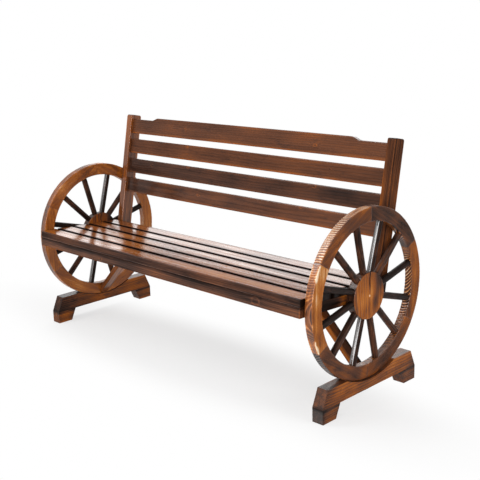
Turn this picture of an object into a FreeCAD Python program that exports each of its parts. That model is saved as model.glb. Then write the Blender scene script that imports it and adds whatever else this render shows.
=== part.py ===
import FreeCAD
import Part
import math
import os

Vector = FreeCAD.Vector

# Garden bench carried between two spoked wheels that stand in cradled feet.
# Millimetres. X runs along the seat, the front faces -Y, Z is up from the floor.
# Only the right-hand end is drawn; the left-hand one is its mirror image, apart from the wheel's turn.

# Wheels: a rim of felloes, dowel spokes and a turned hub
wheel_radius = 286.0
rim_depth = 48.0
rim_width = 30.0
rim_edge_radius = 3.0
felloe_count = 6
felloe_joint_gap = 0.3
spokes_per_felloe = 2
spoke_diameter = 23.0
socket_depth = 14.0
hub_radius = 78.5
hub_drop = 5.5
hub_edge_radius = 3.0
felloe_dowel_diameter = 12.0
felloe_dowel_length = 50.0
right_wheel_turn = 2.0
left_wheel_turn = 0.0

# Feet: a beam with a cradle for the wheel, on two blocks
foot_thickness = 44.0
foot_length = 498.0
block_height = 48.5
block_length = 64.0
block_inner_run = 22.0
beam_height = 60.0
beam_end_run = 26.0
cradle_floor = 30.5
cradle_clearance = 0.3
foot_dowel_diameter = 12.0
foot_dowel_length = 60.0
foot_dowel_pitch = 30.0

# Seat: slats on a frame that tips back a little
seat_length = 1404.0
seat_height = 415.0
seat_tilt = 3.0
seat_overhang = 17.0
slat_count = 5
slat_width = 70.0
slat_gap = 8.0
slat_thickness = 27.0
slat_edge_radius = 4.0
rail_height = 34.0
rail_thickness = 27.0
rail_edge_radius = 2.0
rear_rail_setback = 2.0
bearer_width = 45.0
rim_clearance = 3.0

# Knee braces from the foot of each wheel up to the seat bearers
brace_thickness = 20.0
brace_depth = 36.0
brace_angle = 45.0
brace_rise = 18.0
brace_forward = 7.0

# Back: two reclined posts with slats tenoned between them
post_width = 32.0
post_depth = 53.0
post_recline = 11.0
post_gap = 7.0
post_tail = 72.0
post_top_radius = 9.0
post_edge_radius = 2.5
bench_height = 844.5
back_slat_count = 4
back_slat_height = 61.0
back_slat_gap = 23.5
back_slat_thickness = 24.0
back_slat_setback = 13.0
back_slat_drop = 17.8
crest_rise = 11.0
crest_length = 1024.0
crest_ramp = 36.0
crest_corner_radius = 40.0
tenon_length = 15.0
tenon_height = 40.0
tenon_thickness = 12.0

# Hexagon-head screws through the side rails: two into each hub, two into each post
hub_screw_shank = 10.0
hub_screw_flats = 17.0
hub_screw_head = 6.5
hub_screw_spread = 28.0
post_screw_shank = 8.0
post_screw_flats = 13.0
post_screw_head = 5.5
post_screw_spread = 20.0
post_screw_step = 14.0

# Wood screws driven upwards with their heads flush, under the slats and the wheels
wood_screw_shank = 6.0
wood_screw_head_width = 11.0
wood_screw_head = 4.0
foot_screw_spread = 90.0

# Wood left over the tips of the screws, and room round all that sits in a drilled or chopped hole
hub_screw_cover = 10.0
post_screw_cover = 4.0
wood_screw_cover = 11.0
fit_clearance = 0.2

# Places that follow from the sizes above
x_axis = Vector(1, 0, 0)
y_axis = Vector(0, 1, 0)
parallel = 1e-6
seat_end = seat_length / 2
rim_inner = seat_end + rim_clearance
rim_outer = rim_inner + rim_width
rim_middle = (rim_inner + rim_outer) / 2
rim_bore = wheel_radius - rim_depth
beam_top = block_height + beam_height
wheel_y = seat_overhang / 2
wheel_bottom = block_height + cradle_floor + cradle_clearance
wheel_z = wheel_bottom + wheel_radius
felloe_angle = 360.0 / felloe_count
slat_fronts = [number * (slat_width + slat_gap) for number in range(slat_count)]
seat_depth = slat_fronts[-1] + slat_width
rear_rail_front = seat_depth - rail_thickness
frame_bottom = -slat_thickness - rail_height
frame_middle = -slat_thickness - rail_height / 2
post_inner = seat_end - post_width
lap_face = seat_end - post_width / 2
hub_screw_length = rim_outer - (seat_end - rail_thickness) - hub_screw_cover
post_screw_length = post_width - post_screw_cover
wood_screw_length = slat_thickness + rail_height - wood_screw_cover

# The seat frame is drawn level from its front top edge, then tipped as one.
# The lower front edge of the apron is the foremost line of the bench.
tilt = math.radians(seat_tilt)
apron_reach = (-frame_bottom - rail_edge_radius) * math.sin(tilt)
seat_front = wheel_y - wheel_radius - seat_overhang + apron_reach
seat_place = FreeCAD.Placement(Vector(0, seat_front, seat_height), FreeCAD.Rotation(x_axis, -seat_tilt))

# The posts are drawn upright from seat level, then leaned back as one.
# Their rounded front top corner is the highest point of the bench.
recline = math.radians(post_recline)
post_foot = seat_place.multVec(Vector(0, seat_depth + post_gap, 0))
post_place = FreeCAD.Placement(post_foot, FreeCAD.Rotation(x_axis, -post_recline))
rounded_off = post_top_radius * (math.cos(recline) + math.sin(recline) - 1)
post_length = (bench_height + rounded_off - post_foot.z) / math.cos(recline)

# Each brace climbs from the rim's inner face to the bearer that it meets under the slats.
brace_y = wheel_y - brace_forward
brace_slope = math.radians(brace_angle)
brace_foot = Vector(rim_inner, brace_y, wheel_bottom + brace_rise)
frame_underside = seat_place.multVec(Vector(0, 0, frame_bottom))
brace_top_z = frame_underside.z - (brace_y - frame_underside.y) * math.tan(tilt)
bearer_x = rim_inner - (brace_top_z - brace_foot.z) / math.tan(brace_slope)

# Each hub is screwed on beneath the gap between slats that lies nearest the wheel's middle.
under_gaps = [seat_place.multVec(Vector(0, front - slat_gap / 2, frame_middle)) for front in slat_fronts[1:]]
under_gap = min(under_gaps, key=lambda place: abs(place.y - wheel_y))
hub_screw_seats = []
for side in (-0.5, 0.5):
    step = seat_place.Rotation.multVec(y_axis * (side * hub_screw_spread))
    hub_screw_seats.append(Vector(seat_end - rail_thickness, 0, 0) + under_gap + step)

parts = {}


def outline(points, radii):
    """Closed wire through the points, each corner rounded by its own radius (0 keeps it sharp)."""
    edges = []
    last = None
    first = None
    count = len(points)
    for i in range(count):
        corner = points[i]
        to_before = (points[i - 1] - corner).normalize()
        to_after = (points[(i + 1) % count] - corner).normalize()
        start = corner
        end = corner
        if radii[i] > 0:
            half = to_before.getAngle(to_after) / 2
            reach = radii[i] / math.tan(half)
            start = corner + to_before * reach
            end = corner + to_after * reach
            inward = (to_before + to_after).normalize()
            middle = corner + inward * (radii[i] / math.sin(half) - radii[i])
        if last is not None:
            edges.append(Part.LineSegment(last, start).toShape())
        if radii[i] > 0:
            edges.append(Part.Arc(start, middle, end).toShape())
        first = start if first is None else first
        last = end
    edges.append(Part.LineSegment(last, first).toShape())
    return Part.Wire(edges)


def bar_along_x(x0, x1, y0, y1, z0, z1, radius):
    """Timber of constant section along X, its long edges rounded."""
    corners = [Vector(x0, y0, z0), Vector(x0, y1, z0), Vector(x0, y1, z1), Vector(x0, y0, z1)]
    return Part.Face(outline(corners, [radius] * 4)).extrude(Vector(x1 - x0, 0, 0))


def box(x0, x1, y0, y1, z0, z1):
    return Part.makeBox(x1 - x0, y1 - y0, z1 - z0, Vector(x0, y0, z0))


def flat_faces(shape, axis):
    """The two faces of an extruded blank that are square to the axis."""
    return [face for face in shape.Faces if face.normalAt(0, 0).cross(axis).Length < parallel]


def on_seat(shape):
    shape.Placement = seat_place.multiply(shape.Placement)
    return shape


def on_post(shape):
    shape.Placement = post_place.multiply(shape.Placement)
    return shape


def hex_screw(seat, shank, length, flats, head):
    """Screw along +X with the underside of its head on the seat point."""
    corner = flats / math.sqrt(3)
    turns = [math.radians(60 * k) for k in range(7)]
    ring = [seat + Vector(0, corner * math.cos(turn), corner * math.sin(turn)) for turn in turns]
    hexagon = Part.Face(Part.makePolygon(ring)).extrude(Vector(-head, 0, 0))
    return Part.makeCylinder(shank / 2, length, seat, x_axis).fuse(hexagon)


def screw_hole(seat, shank, length):
    return Part.makeCylinder(shank / 2 + fit_clearance, length + fit_clearance, seat, x_axis)


def wood_screw(foot, room=0.0):
    """Upright screw whose head is flush at the foot point; with room, the hole that takes it."""
    head = Part.makeCylinder(wood_screw_head_width / 2 + room, wood_screw_head + room, foot)
    return head.fuse(Part.makeCylinder(wood_screw_shank / 2 + room, wood_screw_length + room, foot))


def seat_screws(room=0.0):
    """Screws up through the bearers and the side rails into the middle of every slat."""
    screws = []
    for front in slat_fronts:
        for x in (bearer_x, seat_end - rail_thickness / 2):
            foot = Vector(x, front + slat_width / 2, frame_bottom)
            screws.append(on_seat(wood_screw(foot, room)))
    return screws


def foot_screws(room=0.0):
    """Two screws up through the foot beam into the felloes that stand in its cradle."""
    places = [Vector(rim_middle, wheel_y + side * foot_screw_spread, block_height) for side in (-0.5, 0.5)]
    return [wood_screw(place, room) for place in places]


def mirrored(shapes):
    return [shape.mirror(Vector(0, 0, 0), x_axis) for shape in shapes]


def one_side(side, name, shape):
    """Keep a piece that is drawn on the right, or else its mirror image on the left."""
    parts[side + "_" + name] = shape if side == "right" else mirrored([shape])[0]


def both_sides(name, shape):
    for side in ("right", "left"):
        one_side(side, name, shape)


def fasteners(name, right):
    """Keep all the fasteners of one kind, right and left, as one group of solids."""
    parts[name] = Part.makeCompound(right + mirrored(right))


def wheel_direction(angle):
    """Unit vector in the wheel's plane, measured from the top towards the rear."""
    turn = math.radians(angle)
    return Vector(0, math.sin(turn), math.cos(turn))


wheel_centre = Vector(0, wheel_y, wheel_z)
hub_centre = wheel_centre - Vector(0, 0, hub_drop)
spoke_step = felloe_angle / spokes_per_felloe


def felloe_spokes(number, room=0.0):
    """The spokes that end in one felloe of an unturned wheel; with room, their sockets."""
    start = felloe_angle * number
    return [spoke(start + spoke_step * (k + 0.5), room) for k in range(spokes_per_felloe)]


def turned(shapes, turn):
    """Shapes of an unturned wheel, set round about its axle from the top towards the rear."""
    for shape in shapes:
        shape.rotate(wheel_centre, x_axis, -turn)
    return shapes


def spoke(angle, room=0.0):
    inner = hub_radius - socket_depth - room
    outer = rim_bore + socket_depth + room
    along = wheel_direction(angle)
    foot = wheel_centre + Vector(rim_middle, 0, 0) + along * inner
    return Part.makeCylinder(spoke_diameter / 2 + room, outer - inner, foot, along)


def felloe_dowel(angle, room=0.0):
    along = wheel_direction(angle + 90)
    length = felloe_dowel_length + 2 * room
    middle = wheel_centre + Vector(rim_middle, 0, 0) + wheel_direction(angle) * (rim_bore + rim_depth / 2)
    return Part.makeCylinder(felloe_dowel_diameter / 2 + room, length, middle - along * (length / 2), along)


def felloe(number, turn):
    """One sixth of the rim: the rounded rim section turned through its share of the circle."""
    gap_angle = math.degrees(felloe_joint_gap / wheel_radius)
    corners = [Vector(rim_inner, 0, rim_bore), Vector(rim_outer, 0, rim_bore),
               Vector(rim_outer, 0, wheel_radius), Vector(rim_inner, 0, wheel_radius)]
    section = Part.Face(outline(corners, [rim_edge_radius] * 4))
    start = felloe_angle * number
    section.rotate(Vector(0, 0, 0), -x_axis, start + gap_angle / 2)
    solid = section.revolve(Vector(0, 0, 0), -x_axis, felloe_angle - gap_angle)
    solid.translate(wheel_centre)
    holes = felloe_spokes(number, fit_clearance)
    holes += [felloe_dowel(end, fit_clearance) for end in (start, start + felloe_angle)]
    return turned([solid.cut(holes)], turn)[0].cut(foot_screws(fit_clearance))


def hub_screw_holes():
    return [screw_hole(seat, hub_screw_shank, hub_screw_length) for seat in hub_screw_seats]


def hub(turn):
    corners = [Vector(seat_end, 0, 0), Vector(rim_outer, 0, 0),
               Vector(rim_outer, 0, hub_radius), Vector(seat_end, 0, hub_radius)]
    section = Part.Face(outline(corners, [0, 0, hub_edge_radius, hub_edge_radius]))
    solid = section.revolve(Vector(0, 0, 0), x_axis, 360)
    solid.translate(hub_centre)
    sockets = [socket for number in range(felloe_count) for socket in felloe_spokes(number, fit_clearance)]
    return solid.cut(turned(sockets, turn) + hub_screw_holes())


def make_wheels():
    for side, turn in (("right", right_wheel_turn), ("left", left_wheel_turn)):
        for number in range(felloe_count):
            one_side(side, f"felloe_{number + 1}", felloe(number, turn))
            one_side(side, f"spokes_{number + 1}", Part.makeCompound(turned(felloe_spokes(number), turn)))
        one_side(side, "hub", hub(turn))
        dowels = [felloe_dowel(felloe_angle * k) for k in range(felloe_count)]
        one_side(side, "felloe_dowels", Part.makeCompound(turned(dowels, turn)))
    screws = [hex_screw(seat, hub_screw_shank, hub_screw_length, hub_screw_flats, hub_screw_head)
              for seat in hub_screw_seats]
    fasteners("hub_screws", screws)


def foot_dowels(room=0.0):
    """Two upright dowels through the joint of each block with its beam."""
    joint_middle = foot_length / 2 - (block_length + block_inner_run) / 2
    length = foot_dowel_length + 2 * room
    dowels = []
    for end in (-1, 1):
        for step in (-0.5, 0.5):
            y = wheel_y + end * (joint_middle + step * foot_dowel_pitch)
            foot = Vector(seat_end + foot_thickness / 2, y, block_height - length / 2)
            dowels.append(Part.makeCylinder(foot_dowel_diameter / 2 + room, length, foot))
    return dowels


def foot_profile(points, end):
    """Foot piece drawn from the side: points are (distance from the wheel's middle, height)."""
    corners = [Vector(seat_end, wheel_y + end * reach, height) for reach, height in points]
    return Part.Face(Part.makePolygon(corners + corners[:1])).extrude(Vector(foot_thickness, 0, 0))


def make_feet():
    half = foot_length / 2
    ends = [(half, block_height), (half - beam_end_run, beam_top)]
    beam = foot_profile(ends + [(-reach, height) for reach, height in reversed(ends)], 1)
    seat_for_wheel = Part.makeCylinder(wheel_radius + cradle_clearance, foot_thickness,
                                       wheel_centre + Vector(seat_end, 0, 0), x_axis)
    dowel_holes = foot_dowels(fit_clearance)
    both_sides("foot_beam", beam.cut([seat_for_wheel] + dowel_holes + foot_screws(fit_clearance)))
    inner = half - block_length
    block = [(half, 0), (half, block_height), (inner - block_inner_run, block_height), (inner, 0)]
    for name, end in (("front", -1), ("rear", 1)):
        both_sides(name + "_foot_block", foot_profile(block, end).cut(dowel_holes))
    both_sides("foot_dowels", Part.makeCompound(foot_dowels()))
    fasteners("foot_screws", foot_screws())


def post_blank():
    corners = [Vector(post_inner, 0, -post_tail), Vector(post_inner, post_depth, -post_tail),
               Vector(post_inner, post_depth, post_length), Vector(post_inner, 0, post_length)]
    side = Part.Face(outline(corners, [0, 0, post_top_radius, post_top_radius]))
    post = side.extrude(Vector(post_width, 0, 0))
    flanks = flat_faces(post, x_axis)
    edges = [edge for face in flanks for edge in face.Edges if edge.CenterOfMass.z > -post_tail]
    return on_post(post.makeFillet(post_edge_radius, edges))


def side_rail_blank():
    rear = seat_depth + post_gap + 2 * post_depth
    return on_seat(bar_along_x(seat_end - rail_thickness, seat_end, rail_thickness, rear,
                               frame_bottom, -slat_thickness, 0))


def half_space(x0, x1):
    """Block wide enough to halve any joint between the two x planes."""
    return box(x0, x1, -foot_length, foot_length, 0, bench_height)


def post_screw_seats():
    """Two screws, one above the other along the post, in the middle of the half-lap joint."""
    seats = []
    for side in (-0.5, 0.5):
        on_rail = Vector(0, seat_depth + post_gap + post_depth / 2 + side * post_screw_spread,
                         frame_middle + side * post_screw_step)
        seat = seat_place.multVec(on_rail)
        seats.append(Vector(post_inner, seat.y, seat.z))
    return seats


def back_slat_top(number):
    """Height of a back slat's upper edge along the post, counted from the lowest slat."""
    steps = back_slat_count - 1 - number
    return post_length - back_slat_drop - steps * (back_slat_height + back_slat_gap)


def tenon(number, room=0.0):
    """The right-hand tenon of a back slat, or with room the mortise for it."""
    middle = back_slat_top(number) - back_slat_height / 2
    front = back_slat_setback + (back_slat_thickness - tenon_thickness) / 2
    return box(post_inner, post_inner + tenon_length + room, front - room, front + tenon_thickness + room,
               middle - tenon_height / 2 - room, middle + tenon_height / 2 + room)


def make_posts_and_side_rails():
    post = post_blank()
    rail = side_rail_blank()
    behind = on_post(box(0, 2 * seat_end, post_depth, 2 * seat_depth, -seat_depth, seat_depth))
    rail = rail.cut(behind)
    screw_holes = [screw_hole(seat, post_screw_shank, post_screw_length) for seat in post_screw_seats()]
    mortises = [on_post(tenon(number, fit_clearance)) for number in range(back_slat_count)]
    outer_half_of_post = rail.common(half_space(lap_face, seat_end))
    inner_half_of_rail = post.common(half_space(post_inner, lap_face))
    both_sides("back_post", post.cut([outer_half_of_post] + screw_holes + mortises))
    rail_holes = screw_holes + hub_screw_holes() + seat_screws(fit_clearance)
    both_sides("side_rail", rail.cut([inner_half_of_rail] + rail_holes))
    screws = [hex_screw(seat, post_screw_shank, post_screw_length, post_screw_flats, post_screw_head)
              for seat in post_screw_seats()]
    fasteners("post_screws", screws)


def crest_blank(front, rear, low, high):
    """Top slat whose middle stands up between two short ramps."""
    shoulder = crest_length / 2 + crest_ramp
    half_top = [Vector(post_inner, front, high), Vector(shoulder, front, high),
                Vector(crest_length / 2, front, high + crest_rise)]
    other_half = [Vector(-corner.x, corner.y, corner.z) for corner in reversed(half_top)]
    corners = [Vector(-post_inner, front, low), Vector(post_inner, front, low)] + half_top + other_half
    soft = crest_corner_radius
    slab = Part.Face(outline(corners, [0, 0, 0, soft, soft, soft, soft, 0])).extrude(y_axis * (rear - front))
    ends = post_inner - slat_edge_radius
    broad = flat_faces(slab, y_axis)
    edges = [edge for face in broad for edge in face.Edges if abs(edge.CenterOfMass.x) < ends]
    return slab.makeFillet(slat_edge_radius, edges)


def make_back_slats():
    front = back_slat_setback
    rear = front + back_slat_thickness
    for number in range(back_slat_count):
        high = back_slat_top(number)
        low = high - back_slat_height
        if number < back_slat_count - 1:
            name = f"back_slat_{number + 1}"
            slat = bar_along_x(-post_inner, post_inner, front, rear, low, high, slat_edge_radius)
        else:
            name = "crest_rail"
            slat = crest_blank(front, rear, low, high)
        right = [tenon(number)]
        parts[name] = on_post(slat.fuse(right + mirrored(right)).removeSplitter())


def make_seat():
    right_holes = seat_screws(fit_clearance)
    for number, front in enumerate(slat_fronts):
        slat = bar_along_x(-seat_end, seat_end, front, front + slat_width,
                           -slat_thickness, 0, slat_edge_radius)
        parts[f"seat_slat_{number + 1}"] = on_seat(slat).cut(right_holes + mirrored(right_holes))
    parts["front_apron"] = on_seat(bar_along_x(-seat_end, seat_end, 0, rail_thickness,
                                               frame_bottom, -slat_thickness, rail_edge_radius))
    rail_end = seat_end - rail_thickness
    rail_rear = seat_depth - rear_rail_setback
    parts["rear_seat_rail"] = on_seat(box(-rail_end, rail_end, rear_rail_front, rail_rear,
                                          frame_bottom, -slat_thickness))
    bearer = on_seat(box(bearer_x - bearer_width / 2, bearer_x + bearer_width / 2,
                         rail_thickness, rear_rail_front, frame_bottom, -slat_thickness))
    both_sides("seat_bearer", bearer.cut(right_holes))
    fasteners("seat_screws", seat_screws())


def make_braces():
    """Slanted bars, cut upright where they meet the rim and to the seat's tilt where they meet the bearer."""
    along = Vector(-math.cos(brace_slope), 0, math.sin(brace_slope)) * (seat_height / math.sin(brace_slope))
    half_cut = Vector(0, 0, brace_thickness / 2 / math.cos(brace_slope))
    foot = brace_foot - Vector(0, brace_depth / 2, 0)
    corners = [foot - half_cut, foot + half_cut, foot + half_cut + along, foot - half_cut + along]
    bar = Part.Face(Part.makePolygon(corners + corners[:1])).extrude(Vector(0, brace_depth, 0))
    above = on_seat(box(-seat_length, seat_length, -seat_depth, 2 * seat_depth, frame_bottom, seat_height))
    both_sides("knee_brace", bar.cut(above))


make_wheels()
make_feet()
make_seat()
make_braces()
make_posts_and_side_rails()
make_back_slats()

os.makedirs("parts", exist_ok=True)
whole = FreeCAD.BoundBox()
for name, shape in parts.items():
    shape.exportStep(f"parts/{name}.step")
    whole.add(shape.optimalBoundingBox(False))
    print(f"{name}: {len(shape.Solids)} solid(s), {shape.Volume / 1000:.1f} cm3, valid {shape.isValid()}")
print(f"{len(parts)} nodes, {whole.XLength:.1f} x {whole.YLength:.1f} x {whole.ZLength:.1f} mm")
print(f"box Y {whole.YMin:.2f} to {whole.YMax:.2f}, Z {whole.ZMin:.2f} to {whole.ZMax:.2f}")
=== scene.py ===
import math

import bmesh
import bpy
import numpy as np
from mathutils import Matrix, Vector


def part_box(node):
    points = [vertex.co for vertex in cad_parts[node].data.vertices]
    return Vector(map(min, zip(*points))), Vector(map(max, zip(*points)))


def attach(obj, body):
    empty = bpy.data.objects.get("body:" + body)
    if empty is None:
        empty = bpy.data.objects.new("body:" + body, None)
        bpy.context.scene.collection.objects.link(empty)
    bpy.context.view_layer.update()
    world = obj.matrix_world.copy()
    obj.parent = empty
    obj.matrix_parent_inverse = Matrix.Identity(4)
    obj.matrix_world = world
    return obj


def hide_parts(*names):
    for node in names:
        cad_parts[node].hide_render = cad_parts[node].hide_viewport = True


# A garden bench between two wagon wheels, in charred, brushed and lacquered softwood.
# Metres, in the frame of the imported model: X runs along the seat, the front faces -Y.
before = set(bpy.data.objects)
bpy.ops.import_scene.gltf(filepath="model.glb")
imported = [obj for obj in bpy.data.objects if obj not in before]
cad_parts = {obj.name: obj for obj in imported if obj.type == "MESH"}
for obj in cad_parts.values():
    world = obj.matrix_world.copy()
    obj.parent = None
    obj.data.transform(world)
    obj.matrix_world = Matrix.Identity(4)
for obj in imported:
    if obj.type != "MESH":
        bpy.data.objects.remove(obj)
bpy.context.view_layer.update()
alongX, alongY, alongZ = (1, 0, 0), (0, 1, 0), (0, 0, 1)
sides = ("right", "left")
touch = 1e-5  # what lies this near to a plane lies on it
longEdge = 0.01  # shorter edges belong to rounded corners
print("frame loaded:", len(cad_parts), "nodes")


# shader maths as plain sums, on the sockets of one node tree
class Wire:
    def __init__(self, tree, socket=None):
        self.tree = tree
        self.socket = socket

    def node(self, kind, settings=None, sockets=None, out=0):
        made = self.tree.nodes.new(kind)
        for name, value in (settings or {}).items():
            if name == "stops":
                self.fillRamp(made.color_ramp, value)
            else:
                setattr(made, name, value)
        for name, value in (sockets or {}).items():
            if isinstance(value, Wire):
                self.tree.links.new(value.socket, made.inputs[name])
            else:
                made.inputs[name].default_value = value
        return Wire(self.tree, made.outputs[out] if made.outputs else None)

    def fillRamp(self, ramp, stops):
        while len(ramp.elements) > 1:
            ramp.elements.remove(ramp.elements[-1])
        ramp.elements[0].position = stops[0][0]
        for place, colour in stops[1:]:
            ramp.elements.new(place)
        for element, (place, colour) in zip(ramp.elements, stops):
            shade = colour if isinstance(colour, tuple) else (colour, colour, colour)
            element.color = (*shade, 1.0)

    def ramp(self, stops, value):
        return self.node("ShaderNodeValToRGB", {"stops": stops}, {"Fac": value})

    def sum(self, operation, first, second):
        return self.node("ShaderNodeMath", {"operation": operation}, {0: first, 1: second})

    def __add__(self, other):
        return self.sum("ADD", self, other)

    def __radd__(self, other):
        return self.sum("ADD", other, self)

    def __sub__(self, other):
        return self.sum("SUBTRACT", self, other)

    def __rsub__(self, other):
        return self.sum("SUBTRACT", other, self)

    def __mul__(self, other):
        return self.sum("MULTIPLY", self, other)

    def __truediv__(self, other):
        return self.sum("DIVIDE", self, other)


# how a year ring rises from soft wood to hard wood, for the brushed relief and for the colour
ringStops = ((0.0, 0.0), (0.5, 0.12), (0.82, 1.0), (0.94, 0.9), (1.0, 0.0))

# from bare lacquered softwood to charcoal; the palest stops also carry the painted highlights on tread
# ridges and rubbed corners
charStops = (
    (0.0, (0.86, 0.68, 0.48)),
    (0.03, (0.74, 0.42, 0.18)),
    (0.08, (0.61, 0.24, 0.054)),
    (0.2, (0.46, 0.145, 0.022)),
    (0.4, (0.27, 0.074, 0.0115)),
    (0.58, (0.120, 0.042, 0.018)),
    (0.76, (0.050, 0.0205, 0.0120)),
    (0.9, (0.019, 0.0082, 0.0052)),
    (1.0, (0.010, 0.0048, 0.0032)),
)

# layers of noise in the wood: scale along the grain, scale across it and detail
noiseLayers = {
    "fibre": (18.0, 620.0, 2.0),
    "streak": (2.2, 75.0, 3.0),
    "patch": (5.0, 16.0, 3.0),
    "blotch": (11.0, 30.0, 3.0),
    "fleck": (9.0, 260.0, 2.0),
}
surface = {
    "noiseRough": 0.72, "charRough": 0.05, "fibreRough": 0.25, "lateHeight": 0.6, "fibreHeight": 0.9,
    "blotchStops": ((0.56, 0.0), (0.74, 1.0)), "fleckStops": ((0.64, 0.0), (0.76, 1.0)),
}


def startFinish(name):
    finish = bpy.data.materials.new(name)
    finish.use_nodes = True
    finish.node_tree.nodes.clear()
    return finish, Wire(finish.node_tree)


def woodFinish(name, wood):
    finish, sheet = startFinish(name)

    def layer(attribute, out="Fac"):
        return sheet.node("ShaderNodeAttribute", {"attribute_name": attribute}, out=out)

    def noise(kind):
        along, across, detail = noiseLayers[kind]
        scale = (along, across, across)
        stretched = sheet.node("ShaderNodeMapping", {}, {"Vector": grain, "Scale": scale})
        values = {"Vector": stretched, "Scale": 1.0, "Detail": detail, "Roughness": surface["noiseRough"]}
        return sheet.node("ShaderNodeTexNoise", {}, values)

    grain = layer("grain", "Vector")
    wobble, burn, gloss = layer("wobble"), layer("burn"), layer("gloss")
    across = sheet.node("ShaderNodeVectorMath", {"operation": "MULTIPLY"}, {0: grain, 1: (0, 1, 1)})
    fromPith = sheet.node("ShaderNodeVectorMath", {"operation": "LENGTH"}, {0: across}, out="Value")
    year = (fromPith + wobble) / wood["pitch"]
    share = sheet.node("ShaderNodeMath", {"operation": "FRACT"}, {0: year})
    late = sheet.ramp(ringStops, share)
    fibre, streak, patch = (noise(kind) - 0.5 for kind in ("fibre", "streak", "patch"))
    blotch = sheet.ramp(surface["blotchStops"], noise("blotch"))
    fleck = sheet.ramp(surface["fleckStops"], noise("fleck"))
    # the darkness adds the grain to the charring and to the painted light and shade that growGrain lays on
    # each piece
    darkness = burn + late * wood["lateDark"] + streak * wood["streak"] + fibre * wood["fibre"]
    darkness = darkness + patch * wood["patch"] + blotch * wood["blotch"] - fleck * wood["fleck"]
    colour = sheet.ramp(charStops, darkness)
    rough = wood["rough"] + darkness * surface["charRough"] + fibre * surface["fibreRough"]
    height = late * surface["lateHeight"] + fibre * surface["fibreHeight"]
    bump = sheet.node("ShaderNodeBump", {}, {"Height": height, "Distance": wood["bump"], "Strength": 1.0})
    coat = gloss * (1 - streak * wood["dulled"])
    values = {
        "Base Color": colour, "Roughness": rough, "Normal": bump, "IOR": wood["ior"],
        "Coat Weight": coat, "Coat Roughness": wood["coatRough"], "Coat IOR": wood["coatIor"],
    }
    shader = sheet.node("ShaderNodeBsdfPrincipled", {}, values)
    sheet.node("ShaderNodeOutputMaterial", {}, {"Surface": shader})
    return finish


# picking, splitting and reading meshes
straight = 0.999  # an edge runs along an axis when this much of its length does


def grab(piece):
    bpy.ops.object.select_all(action="DESELECT")
    piece.select_set(True)
    bpy.context.view_layer.objects.active = piece


def pickEdges(piece, test):
    bpy.ops.mesh.select_mode(type="EDGE")
    bpy.ops.mesh.select_all(action="DESELECT")
    net = bmesh.from_edit_mesh(piece.data)
    for edge in net.edges:
        if test(edge):
            edge.select_set(True)
    net.select_flush_mode()
    bmesh.update_edit_mesh(piece.data)


def runsAlong(axis, shortest=0.0):
    def test(edge):
        line = edge.verts[1].co - edge.verts[0].co
        return line.length > shortest and abs(line[axis]) > straight * line.length
    return test


def splitAlong(piece, axis, shortest, *cuts):
    for count in cuts:
        pickEdges(piece, runsAlong(axis, shortest))
        bpy.ops.mesh.subdivide(number_cuts=count)
        shortest = shortest / (count + 1)


def sliceAlong(normal, low, high, count):
    for cut in range(1, count):
        away = low + (high - low) * cut / count
        bpy.ops.mesh.select_all(action="SELECT")
        bpy.ops.mesh.bisect(plane_co=normal * away, plane_no=normal)


def readVectors(group, field):
    values = np.zeros(len(group) * 3, np.float32)
    group.foreach_get(field, values)
    return values.reshape(-1, 3).astype(float)


def meshPoints(mesh):
    return readVectors(mesh.vertices, "co")


def placePoints(mesh, points):
    mesh.vertices.foreach_set("co", points.astype(np.float32).ravel())
    mesh.update()


def copyPiece(piece, name):
    copy = bpy.data.objects.new(name, piece.data.copy())
    bpy.context.scene.collection.objects.link(copy)
    return copy


def discard(piece):
    bpy.data.objects.remove(piece)


def unit(direction):
    direction = np.array(direction, float)
    return direction / np.linalg.norm(direction)


def bell(values):
    return np.exp(-values ** 2)


def fadeIn(values, start, reach):
    return np.clip((values - start) / reach, 0, 1)


def boxAlong(node, turn):
    points = meshPoints(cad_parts[node].data) @ np.array(turn)
    return points.min(0), points.max(0)


# where a surface starts to look a given way, and how much further it then fully does
looking = {"along": (0.75, 0.2), "up": (0.8, 0.18), "endways": (0.5, 0.4), "outwards": (0.7, 0.25)}


# lacquer from one weight to another, the second where a surface looks along the given way
def lacquer(aside, facing, way):
    def coat(normals):
        return aside + (facing - aside) * fadeIn(np.abs(normals @ unit(way)), *looking["along"])
    return coat


# what is drawn for each piece, and how its knots, edges and ridges show
growth = {
    "pithAside": (0.5, 1.3), "pithDeep": (0.8, 1.25), "seedStep": 0.731,
    "waveStretch": (0.75, 1.3), "waveLean": 4, "driftStretch": (0.7, 1.4), "driftLean": 6,
    "knotBend": (2.4, 1.3), "knotSwell": 2.6, "knotFlat": 0.75, "knotCore": 0.55, "knotRing": 1.1,
    "knotRingSharp": 6, "edgeReach": 0.008, "edgeDull": 2, "wearAndHighlightReach": 0.003,
    "ridgePale": 0.5, "ridgeDark": 0.17, "ridgeDull": 0.7, "ridgeDeep": 0.3,
}
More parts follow.
